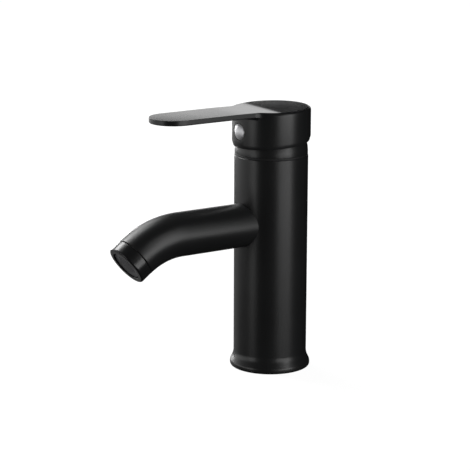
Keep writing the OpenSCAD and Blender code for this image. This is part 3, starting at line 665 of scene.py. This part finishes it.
# %% [markdown]
# ## Roundings that change along an edge
# The top edge is rounded generously on the cap and finely along the blade. A bevel can't change
# its size along one edge, so each vertex gets a rounding of its own. How far the outline hangs
# over the cap's wall says how much room there is below for a rounding and a fillet. Both fade out
# where the outline runs into the round cap.

# %% Size the roundings
CAP_ROUND, BLADE_ROUND, UNDER_ROUND, WALL_FILLET = 1.8 * MM, 0.2 * MM, 0.6 * MM, 2.0 * MM
UNDER_SHARE, FILLET_SHARE, BLEND_STEPS = 0.3, 0.4, 8


def outward_at(i):
    """The way out of the outline at its i-th vertex."""
    along = (outline[(i + 1) % outline_count] - outline[i - 1]).normalized()
    return Vector((-along.y, along.x, 0))


def top_rounding(i):
    """The rounding of the top edge: generous round the cap, fine along the blade."""
    i = min(i, outline_count - i)
    share = min(max((i - BACK_STEPS + BLEND_STEPS) / (BLEND_STEPS + FILLET_STEPS), 0), 1)
    return CAP_ROUND + (BLADE_ROUND - CAP_ROUND) * share


outward = [outward_at(i) for i in range(outline_count)]
overhang = [p.length - cap_r for p in outline]
top_round = [top_rounding(i) for i in range(outline_count)]
under_round = [min(UNDER_ROUND, UNDER_SHARE * room) for room in overhang]
wall_fillet = [min(WALL_FILLET, FILLET_SHARE * room) for room in overhang]
print(f"blade reaches {1000 * max(overhang):.1f} mm past the cap's wall")

# %% [markdown]
# ## The lever's outside
# The lever is grown from its flat top: over the rounded edge, down the blade's side, under the
# blade, round the fillet into the cap's wall, and down to the slanted rim. A blade and a cap could
# be made apart and joined, but then the fillet between them would have to be patched in.

# %% Grow the lever's outside
BLADE_T, REAR_RISE, ROUND_STEPS = 3.5 * MM, 0.3 * MM, 5
RIM_RISE, RIM_SLANT, CHAMFER_W, CHAMFER_H = 5.5 * MM, 4 * MM, 0.75 * MM, 2.6 * MM
UP = Vector((0, 0, 1))
blade_top_z, under_z = cap_top_z - REAR_RISE, cap_top_z - BLADE_T
rim_r = cap_r - CHAMFER_W


def rim_z(y):
    """The height of the cap's slanted rim at that depth."""
    return pivot_z + RIM_RISE + y * RIM_SLANT / (2 * cap_r)


lever = bmesh.new()
top_ring = [lever.verts.new(p - n * r + UP * blade_top_z)
            for p, n, r in zip(outline, outward, top_round)]
for a, b in zip(top_ring, top_ring[1:] + top_ring[:1]):
    lever.edges.new((a, b))
ring = top_ring
for step in range(1, ROUND_STEPS + 1):
    s, c = quarter(step, ROUND_STEPS)
    ring = grow(lever, ring, [p - n * r * (1 - s) + UP * (blade_top_z - r * (1 - c))
                              for p, n, r in zip(outline, outward, top_round)])
for step in range(ROUND_STEPS + 1):
    s, c = quarter(step, ROUND_STEPS)
    ring = grow(lever, ring, [p - n * r * (1 - c) + UP * (under_z + r * (1 - s))
                              for p, n, r in zip(outline, outward, under_round)])
for step in range(ROUND_STEPS + 1):
    s, c = quarter(step, ROUND_STEPS)
    ring = grow(lever, ring, [w * (cap_r + f * (1 - s)) + UP * (under_z - f * (1 - c))
                              for w, f in zip(wall, wall_fillet)])
ring = grow(lever, ring, [w * cap_r + UP * (rim_z(w.y * cap_r) + CHAMFER_H) for w in wall])
ring = grow(lever, ring, [w * rim_r + UP * rim_z(w.y * rim_r) for w in wall])
print("vertices of the lever's outside:", len(lever.verts))

# %% [markdown]
# ## The hollow
# Inside the cap is part of a ball, a hair larger than the neck, and in the middle of its roof
# stands the hub that holds the spindle. A ball could be cut out of the cap, but growing on from
# the rim keeps one clean skin from outside to inside.

# %% Grow the lever's inside
BALL_GAP, HUB_GAP, HUB_R = 0.3 * MM, 0.3 * MM, 8.2 * MM
HOLLOW_STEPS, ANGLE_TRIES = 10, 8
hollow_r, hub_z = neck_r + BALL_GAP, neck_top_z + HUB_GAP


def hollow_angle(w):
    """How far above the pivot's level the ball meets the slanted rim, in that direction. The
    rim's height depends on the answer, so it is worked out again until it settles."""
    angle = 0
    for _ in range(ANGLE_TRIES):
        angle = math.asin((rim_z(w.y * hollow_r * math.cos(angle)) - pivot_z) / hollow_r)
    return angle


rim_angles = [hollow_angle(w) for w in wall]
hub_angle = math.acos(HUB_R / hollow_r)
for step in range(HOLLOW_STEPS + 1):
    share = step / HOLLOW_STEPS
    angles = [a + (hub_angle - a) * share for a in rim_angles]
    ring = grow(lever, ring, [w * hollow_r * math.cos(a) + UP * (pivot_z + hollow_r * math.sin(a))
                              for w, a in zip(wall, angles)])
ring = grow(lever, ring, [w * HUB_R + UP * hub_z for w in wall])
lever.faces.new(ring)
lever.faces.new(top_ring)
print(f"hollow {2000 * hollow_r:.1f} mm wide")

# %% [markdown]
# ## The lie of the top
# The top isn't one flat sheet. The blade's tip droops by a hair, and from its middle the blade
# falls by about a degree towards the cap. The cap's top rises again by as much to the rear, so a
# soft valley runs across in front of the spindle. It is only a few tenths of a millimetre deep,
# but gloss shows it at once. A bump in the finish would bend the light and not the edge. So the
# flat face gets cuts across it where it has to bend, and everything near the top is then moved by
# a smooth curve.

# %% Lay the valley into the top
# Each bend has its start, its end and how much steeper the fall gets. The first one takes up the
# tip's slope, and past its middle the blade is level.
TIP_SLOPE, TIP_LEVEL_Y = 0.003, -65 * MM
BENDS = [(-80 * MM, -50 * MM, TIP_SLOPE), (-36 * MM, -24 * MM, 0.02),
         (-13 * MM, -5 * MM, -0.042)]
CUTS_A_BEND = 5
NEAR_TOP, CUT_MERGE, SLIVER = 0.2 * MM, 0.005 * MM, 0.002 * MM


def fall(y):
    """How far the top has fallen at that depth. Each bend changes the slope evenly."""
    depth = TIP_SLOPE * (TIP_LEVEL_Y - y)
    for start, end, change in BENDS:
        past = y - start
        if past > end - start:
            depth += change * (past - (end - start) / 2)
        elif past > 0:
            depth += change * past ** 2 / (2 * (end - start))
    return depth


for start, end, _ in BENDS:
    for i in range(CUTS_A_BEND):
        y = start + (end - start) * i / (CUTS_A_BEND - 1)
        tops = [f for f in lever.faces if all(v.co.z > blade_top_z - MERGE for v in f.verts)]
        geom = {*tops, *(e for f in tops for e in f.edges), *(v for f in tops for v in f.verts)}
        bmesh.ops.bisect_plane(lever, geom=list(geom), plane_co=(0, y, 0), plane_no=(0, 1, 0),
                               dist=MERGE)
for v in lever.verts:
    if v.co.z > under_z - NEAR_TOP:
        v.co.z -= fall(v.co.y)
bmesh.ops.remove_doubles(lever, verts=lever.verts[:], dist=CUT_MERGE)
bmesh.ops.dissolve_degenerate(lever, edges=lever.edges[:], dist=SLIVER)
bmesh.ops.recalc_face_normals(lever, faces=lever.faces[:])
print(f"valley {1000 * fall(BENDS[-1][0]):.2f} mm deep, rear {-1000 * fall(cap_r):.2f} mm up")
print("open edges:", sum(not e.is_manifold for e in lever.edges))

# %% [markdown]
# ## Tools for boring
# The lever's holes meet a curved wall at odd places. There a boolean is simpler and truer than any
# ring of vertices, and it works as a machinist does, with one tool after another: round rods along
# the set screw's axis, and a square bar down the spindle's.

# %% Make the tools
BUTTON_RISE, ROD_SIDES = 13.5 * MM, 64
facing_front = (Matrix.Translation((0, 0, pivot_z + BUTTON_RISE))
                @ Matrix.Rotation(math.radians(90), 4, "X"))


def rod(radius, low, high):
    """A rod along the button's axis. low and high are distances in front of the column's axis."""
    bm = bmesh.new()
    bmesh.ops.create_cone(bm, cap_ends=True, segments=ROD_SIDES, radius1=radius, radius2=radius,
                          depth=high - low)
    bmesh.ops.translate(bm, vec=(0, 0, (low + high) / 2), verts=bm.verts[:])
    bmesh.ops.transform(bm, matrix=facing_front, verts=bm.verts[:])
    return bm


def square_bar(half, low, high):
    """An upright square bar on the column's axis, from one height to another."""
    bm = bmesh.new()
    bmesh.ops.create_cube(bm, size=2 * half)
    for v in bm.verts:
        v.co.z = high if v.co.z > 0 else low
    return bm


def rough_object(bm, name):
    """An object for the workbench, which isn't a piece of the tap."""
    mesh = bpy.data.meshes.new(name)
    bm.to_mesh(mesh)
    bm.free()
    obj = bpy.data.objects.new(name, mesh)
    bpy.context.scene.collection.objects.link(obj)
    return obj


def machined(bm, *jobs):
    """Adds or takes away one tool's shape after another, and gives the finished bmesh."""
    work = rough_object(bm, "work")
    bench = [work]
    for operation, tool in jobs:
        bench.append(rough_object(tool, "tool"))
        job = work.modifiers.new("job", "BOOLEAN")
        job.operation, job.solver, job.object = operation, "EXACT", bench[-1]
    done = bpy.data.meshes.new_from_object(
        work.evaluated_get(bpy.context.evaluated_depsgraph_get()))
    for obj in bench:
        bpy.data.objects.remove(obj)
    out = bmesh.new()
    out.from_mesh(done)
    bpy.data.meshes.remove(done)
    bmesh.ops.remove_doubles(out, verts=out.verts[:], dist=MERGE)
    return out


print(f"set screw and button at {1000 * (pivot_z + BUTTON_RISE):.1f} mm")

# %% [markdown]
# ## Boring the lever
# A boss stands inside the front of the cap for the set screw, so it is added before anything is
# cut. Then come the spindle's square socket, the screw's thread, drawn as a plain hole, and the
# button's seat. Each tool runs a little past the face where it comes out, because two faces in the
# same plane would leave the boolean in doubt.

# %% Cut the socket, the thread and the button's seat
SOCKET_HALF, SOCKET_RISE, SCREW_R, BOSS_R = 4.05 * MM, 20.3 * MM, 2.5 * MM, 4.3 * MM
SEAT_R, SEAT_L = 5.1 * MM, 2.4 * MM
BOSS_PAST_SEAT, SCREW_PAST_SEAT, TOOL_PAST = 0.2 * MM, 0.1 * MM, 1 * MM
seat_y = cap_r - SEAT_L
lever = machined(
    lever,
    ("UNION", rod(BOSS_R, HUB_R / 2, seat_y + BOSS_PAST_SEAT)),
    ("DIFFERENCE", square_bar(SOCKET_HALF, hub_z - TOOL_PAST, pivot_z + SOCKET_RISE)),
    ("DIFFERENCE", rod(SCREW_R, 0, seat_y + SCREW_PAST_SEAT)),
    ("DIFFERENCE", rod(SEAT_R, seat_y, cap_r + TOOL_PAST)))
print("open edges after boring:", sum(not e.is_manifold for e in lever.edges))

# %% [markdown]
# ## Buffing the top
# The lever's top is polished on a wheel, and the wheel reaches no further than the flat. The sides
# keep the satin lacquer. Two materials on one mesh, chosen by which way a face looks, make that
# line for free, where a painted mask would need its own picture.

# %% Buff the top and keep the lever
LOOKS_UP, BUFFED = 0.98, 1
for face in lever.faces:
    if face.normal.z > LOOKS_UP and face.calc_center_median().z > under_z:
        face.material_index = BUFFED
lever_piece = piece("lever", lever, lacquer, "lever", "black_paint", "handle")
lever_piece.data.materials.append(buffed_lacquer)
print("finishes on the lever:", ", ".join(m.name for m in lever_piece.data.materials))

# %% [markdown]
# ## The index button
# A small bright plug hides the set screw. A slice of a ball would make its face, but not the thin
# skirt that sits in the bore, so it is turned from a section. The face is a shallow dome, so that
# it catches the light from every side.

# %% Turn the button
BUTTON_FIT, PROUD, EDGE_IN, BUTTON_ROUND = 0.15 * MM, 0.9 * MM, 0.4 * MM, 0.25 * MM
BUTTON_SIDES, DOME_STEPS = 64, 8
button_r = SEAT_R - BUTTON_FIT
edge_y, top_y = cap_r - EDGE_IN, cap_r + PROUD
dome_h = top_y - edge_y
dome_r = (button_r ** 2 + dome_h ** 2) / (2 * dome_h)
dome_radii = [button_r * (1 - i / DOME_STEPS) for i in range(DOME_STEPS + 1)]
dome = [(r, top_y - dome_r + math.sqrt(dome_r ** 2 - r ** 2)) for r in dome_radii]
button = turned([(0, seat_y), (button_r, seat_y)] + dome,
                rounds=[(button_r, edge_y, BUTTON_ROUND)], steps=BUTTON_SIDES)
piece("index_plug", button, finishes["chrome"], "lever", "chrome", "index_button",
      place=facing_front)
